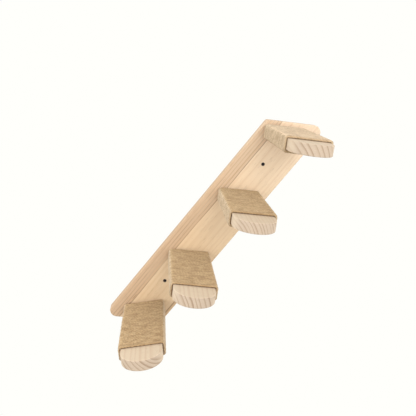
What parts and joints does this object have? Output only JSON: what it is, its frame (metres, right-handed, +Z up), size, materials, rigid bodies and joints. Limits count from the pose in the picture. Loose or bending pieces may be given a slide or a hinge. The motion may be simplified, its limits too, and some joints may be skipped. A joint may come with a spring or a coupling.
{
  "type": "wall mounted cat stair",
  "caption": "Sloping pine backboard for a wall with treads standing straight out from it, each wound with jute cord behind a bare half round nose and turning on one centre bolt.",
  "frame": {"origin": "centre of the backboard's back face, on the wall", "axes": "+Y into the wall, +X to the right seen from the room, +Z up"},
  "size_m": [0.4522, 0.3322, 0.528],
  "materials": {
    "board_pine": "planed, unvarnished",
    "tread_pine": "planed, unvarnished",
    "jute": "rough twisted cord",
    "bolt_steel": "zinc plated",
    "washer_steel": "zinc plated",
    "insert_steel": "zinc plated",
    "screw_black": "black phosphated"
  },
  "bodies": {
    "board": {"backboard": "board_pine", "wall_screw_lower": "screw_black", "wall_screw_upper": "screw_black"},
    "step_1": {"tread_1": "tread_pine", "jute_wrap_1": "jute", "tread_bolt_1": "bolt_steel", "bolt_washer_1": "washer_steel", "threaded_insert_1": "insert_steel"},
    "step_2": {"tread_2": "tread_pine", "jute_wrap_2": "jute", "tread_bolt_2": "bolt_steel", "bolt_washer_2": "washer_steel", "threaded_insert_2": "insert_steel"},
    "step_3": {"tread_3": "tread_pine", "jute_wrap_3": "jute", "tread_bolt_3": "bolt_steel", "bolt_washer_3": "washer_steel", "threaded_insert_3": "insert_steel"},
    "step_4": {"tread_4": "tread_pine", "jute_wrap_4": "jute", "tread_bolt_4": "bolt_steel", "bolt_washer_4": "washer_steel", "threaded_insert_4": "insert_steel"}
  },
  "joints": [
    {"name": "tread_1_levelling", "type": "hinge", "parent": "board", "child": "step_1", "pos_m": [-0.14154, -0.018, -0.23232], "axis": [0, -1, 0], "range_deg": [-102.5, 77.5]},
    {"name": "tread_2_levelling", "type": "hinge", "parent": "board", "child": "step_2", "pos_m": [-0.04879, -0.018, -0.08747], "axis": [0, -1, 0], "range_deg": [-90, 90]},
    {"name": "tread_3_levelling", "type": "hinge", "parent": "board", "child": "step_3", "pos_m": [0.0517, -0.018, 0.07616], "axis": [0, -1, 0], "range_deg": [-90, 90]},
    {"name": "tread_4_levelling", "type": "hinge", "parent": "board", "child": "step_4", "pos_m": [0.13934, -0.018, 0.23726], "axis": [0, -1, 0], "range_deg": [-90, 90]}
  ]
}
